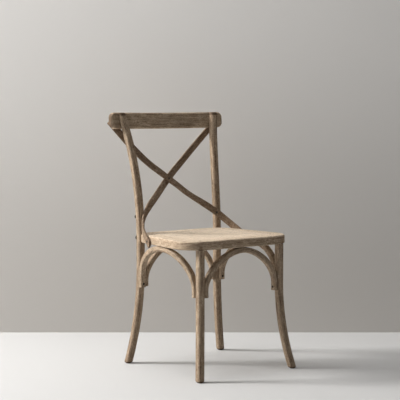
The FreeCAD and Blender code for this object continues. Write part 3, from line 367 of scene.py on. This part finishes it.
def oak(name, grain, seed, pale=0.0, grey=0.45, stain=0.0, patch=0.8,
        end=None, flank_shade=0.0, foot=False, tip=False):
    """Weathered oak: bands, fibres and open pores that run with the grain, and a grey patina.

    pale, grey and the dark share say how much of the seat's tone, of grey and of dark it takes;
    the dark share is partly a real stain and partly painted shade on the pieces that sit in shade;
    end is the axis along which its end grain looks, the flank share paints shade on the faces that
    stand upright, darker than the top, and foot and tip darken a leg's foot and a post's top.
    """
    material, tree, shader = new_material(name)
    noises = oak_noises(tree, grain(*object_place(tree)), seed, patch)
    band_share = noises["bands"].fade(BAND_FADE)
    pore_share = noises["pores"].fade(PORE_FADE)

    layers = [(noises["blotch"].fade(BLOTCH_FADE) * grey, OAK_GREY)]
    if pale:
        layers.append((pale, OAK_SEAT))
    # Painted shade: the faces that stand upright are darker than the top, as less light falls on
    # them
    if flank_shade:
        layers.append((facing(tree, Z_AXIS).fade(FLANK_SHADE_FADE) * flank_shade, OAK_MID))
    # Dark over the whole piece: partly a real stain, partly painted shade on the pieces that sit
    # in shade
    if stain:
        layers.append((stain, OAK_DARK))
    for tone in OAK_TONES:
        strength = (tone.strength - pale * tone.pale_loss) * (1 - stain * tone.stain_loss)
        share = noises[tone.noise].ramp(tone.start, tone.full) * strength
        layers.append((share, tone.colour))
    worn_edge = nearness(tree, WORN_EDGE_REACH, inside=True).fade(WORN_EDGE_FADE)
    worn = worn_edge * noises["streaks"].fade(WORN_STREAK_FADE)
    layers.append((worn * (1 - stain * WORN_STAIN_AND_SHADE_LOSS), OAK_WORN))
    layers.append((pore_share * PORE_TONE, PORE))
    if end:
        layers.append((facing(tree, end).fade(END_FADE), OAK_END_GRAIN_AND_SEAM_SHADE))
    height = object_place(tree)[2]
    if foot:
        layers.append((height.fade(FOOT_FADE), OAK_DARK))
        layers.append((height.fade(FOOT_RIM_FADE), OAK_END_GRAIN_AND_SEAM_SHADE))
    if tip:
        ragged = height + noises["flecks"] * TIP_RAGGEDNESS
        layers.append((ragged.fade(TIP_FADE), OAK_END_GRAIN_AND_SEAM_SHADE))
    # Painted shade: darker in the seams between pieces, where little light reaches
    layers.append((nearness(tree, SEAM_SHADE_REACH, inside=False).fade(SEAM_SHADE_FADE), OAK_END_GRAIN_AND_SEAM_SHADE))

    colour = blend_colours(tree, band_share, OAK_MID, OAK_PALE)
    for share, layer in layers:
        colour = blend_colours(tree, share, colour, layer)
    tree.links.new(colour, shader.inputs["Base Color"])
    roughness = noises["fibres"] * OAK_ROUGHNESS_SPREAD + OAK_ROUGHNESS
    roughness.feed(shader.inputs["Roughness"])
    shader.inputs["Specular IOR Level"].default_value = OAK_SPECULAR
    relief = band_share * BAND_RELIEF + pore_share * PORE_RELIEF
    for noise_name, weight in OAK_RELIEF.items():
        relief = relief + noises[noise_name] * weight
    add_bump(tree, shader, relief, **OAK_BUMP)
    return material


def metal(name, colour, metallic, low, high):
    """Metal or nylon whose colour and gloss are a little worn; low and high are its roughness."""
    material, tree, shader = new_material(name)
    wear = noise(tree, join(tree, object_place(tree)), WEAR_SCALE, detail=4, seed=WEAR_SEED)
    bright = tuple(value * WEAR_GAIN + WEAR_LIFT for value in colour)
    shade = blend_colours(tree, wear.fade(WEAR_FADE), colour, bright)
    tree.links.new(shade, shader.inputs["Base Color"])
    (wear * (high - low) + low).feed(shader.inputs["Roughness"])
    shader.inputs["Metallic"].default_value = metallic
    add_bump(tree, shader, wear, **METAL_BUMP)
    return material


def dress(node, material):
    mesh = nodes[node].data
    mesh.materials.clear()
    mesh.materials.append(material)


# The dark share of each piece is partly its stain and partly painted shade: the slats and rear
# legs, which stand in shade, take the most
for index, (side, word) in enumerate(((-1, "left"), (1, "right"))):
    dress("front_leg_" + word,
          oak("oak_front_leg_" + word, leg_grain("front", side), 1.3 + index * 5,
              end=Z_AXIS, stain=0.2, foot=True))
    dress("rear_leg_" + word,
          oak("oak_rear_leg_" + word, leg_grain("rear", side), 2.9 + index * 7,
              end=Z_AXIS, stain=0.38, foot=True, tip=True))
    dress("side_arch_" + word,
          oak("oak_side_arch_" + word, arch_grain("y"), 4.1 + index * 3, stain=0.18))
dress("front_arch", oak("oak_front_arch", arch_grain("x"), 8.2, stain=0.28))
dress("rear_arch", oak("oak_rear_arch", arch_grain("x"), 9.7, stain=0.28))
dress("top_rail", oak("oak_rail", rail_grain, 12.4, end=X_AXIS, stain=0.1, patch=0.5))
dress("back_slat_front", oak("oak_slat_front", slat_grain(1), 15.1, stain=0.8))
dress("back_slat_rear", oak("oak_slat_rear", slat_grain(-1), 18.6, stain=0.8))
# The seat ring's sides take painted shade
dress("seat_ring", oak("oak_seat_ring", ring_grain, 21.5, pale=0.5, grey=0.3, flank_shade=0.9))
dress("seat_panel", oak("oak_seat_panel", seat_grain, 23.9, pale=0.75, grey=0.3))
dress("seat_plugs", oak("oak_plugs", seat_grain, 27.2, stain=0.85))

black = metal("black_steel", BLACK_STEEL, metallic=0.6, low=0.35, high=0.6)
zinc = metal("dark_zinc", DARK_ZINC, metallic=0.9, low=0.35, high=0.65)
nylon = metal("dark_nylon", DARK_NYLON, metallic=0.0, low=0.5, high=0.7)
for node in ("rear_leg_bolts", "slat_post_nuts", "slat_rail_bolts", "slat_seat_screws",
             "crossing_nut", "arch_leg_screws"):
    dress(node, black)
for node in ("arch_seat_screws", "rail_screws", "slat_post_bolts", "crossing_bolt",
             "front_leg_screws", "seat_lap_screws", "panel_screws"):
    dress(node, zinc)
dress("foot_glides", nylon)

# The camera, as it was fitted to the photograph, and the directions that it gives

AZIMUTH = math.radians(-36.926)
PITCH = math.radians(4.268)
CAMERA_BACK = 4.4489
CAMERA_HEIGHT = 0.9112
CAMERA_SIDE = -0.0356
CAMERA_SHIFT_Y = -0.036
FOCAL_PIXELS = 1288.72
PICTURE_HALF = 200

BACK = Vector((math.sin(AZIMUTH), -math.cos(AZIMUTH), 0))
RIGHT = Vector((math.cos(AZIMUTH), math.sin(AZIMUTH), 0))
UP = Vector((0, 0, 1))

# Floor, wall and light

FLOOR_REACH = 8.0
FLOOR_COLOUR = (0.51, 0.509, 0.507)
FLOOR_ROUGHNESS = 0.7
WALL_AWAY = 0.62
WALL_HEIGHT = 6.0
# The wall is painted darker low and paler high: painted light that stands in for the light falling
# on it
WALL_LOW = (0.66, 0.635, 0.605)
WALL_HIGH = (0.88, 0.865, 0.845)
WALL_PAINTED_LIGHT_HEIGHTS = (0.1, 1.3)
WALL_ROUGHNESS = 0.9
LIGHT_AIM = Vector((0, 0, 0.4))
SKY_COLOUR = (1.0, 0.985, 0.965, 1.0)
SKY_LIGHT = 0.08
SKY_SEEN = 0.40


def plain(name, low_colour, high_colour, roughness):
    """A matt surface that grows paler upward, painted light for the upper wall that takes more
    light; from behind it can be seen through.
    """
    material, tree, shader = new_material(name)
    # Painted light: the colour grows paler upward
    height = object_place(tree)[2].ramp(*WALL_PAINTED_LIGHT_HEIGHTS)
    tree.links.new(blend_colours(tree, height, low_colour, high_colour),
                   shader.inputs["Base Color"])
    shader.inputs["Roughness"].default_value = roughness
    behind = Num(tree, tree.nodes.new("ShaderNodeNewGeometry").outputs["Backfacing"])
    behind.rest().feed(shader.inputs["Alpha"])
    return material


def stage_sheet(name, corners, material):
    mesh = bpy.data.meshes.new(name)
    mesh.from_pydata([tuple(corner) for corner in corners], [], [(0, 1, 2, 3)])
    sheet = bpy.data.objects.new(name, mesh)
    bpy.context.scene.collection.objects.link(sheet)
    mesh.materials.append(material)


def area_light(name, direction, distance, size, power, colour):
    """A round soft lamp that stands off in a direction and looks at the chair."""
    lamp = bpy.data.lights.new(name, "AREA")
    lamp.shape = "DISK"
    lamp.size = size
    lamp.energy = power
    lamp.color = colour
    light = bpy.data.objects.new(name, lamp)
    bpy.context.scene.collection.objects.link(light)
    light.location = LIGHT_AIM + direction.normalized() * distance
    light.rotation_euler = (LIGHT_AIM - light.location).to_track_quat("-Z", "Y").to_euler()


floor_away = BACK * FLOOR_REACH
floor_side = RIGHT * FLOOR_REACH
wall_foot = BACK * -WALL_AWAY
wall_top = wall_foot + UP * WALL_HEIGHT
stage_sheet("floor", [floor_side - floor_away, -floor_side - floor_away,
                      floor_away - floor_side, floor_away + floor_side],
            plain("floor_paint", FLOOR_COLOUR, FLOOR_COLOUR, FLOOR_ROUGHNESS))
stage_sheet("wall", [wall_foot - floor_side, wall_foot + floor_side,
                     wall_top + floor_side, wall_top - floor_side],
            plain("wall_paint", WALL_LOW, WALL_HIGH, WALL_ROUGHNESS))

area_light("key", RIGHT * -1.0 + BACK * -0.06 + UP * 0.62,
           distance=5.0, size=1.5, power=400, colour=(1.0, 0.985, 0.96))
area_light("overhead", RIGHT * -0.3 + BACK * -0.15 + UP,
           distance=3.6, size=3.2, power=148, colour=(1.0, 0.99, 0.98))
world = bpy.data.worlds.new("soft_sky")
bpy.context.scene.world = world
world.use_nodes = True
sky = world.node_tree.nodes["Background"]
sky.inputs["Color"].default_value = SKY_COLOUR
light_path = world.node_tree.nodes.new("ShaderNodeLightPath")
seen = Num(world.node_tree, light_path.outputs["Is Camera Ray"])
(seen * (SKY_SEEN - SKY_LIGHT) + SKY_LIGHT).feed(sky.inputs["Strength"])

camera_data = bpy.data.cameras.new("camera")
camera = bpy.data.objects.new("camera", camera_data)
bpy.context.scene.collection.objects.link(camera)
camera.location = (BACK * CAMERA_BACK + RIGHT * CAMERA_SIDE + UP * CAMERA_HEIGHT
                   + Vector((0, CAMERA_SHIFT_Y, 0)))
camera.rotation_euler = (math.pi / 2 - PITCH, 0, AZIMUTH)
camera_data.angle = 2 * math.atan(PICTURE_HALF / FOCAL_PIXELS)
bpy.context.scene.camera = camera
bpy.context.scene.view_settings.view_transform = "Standard"
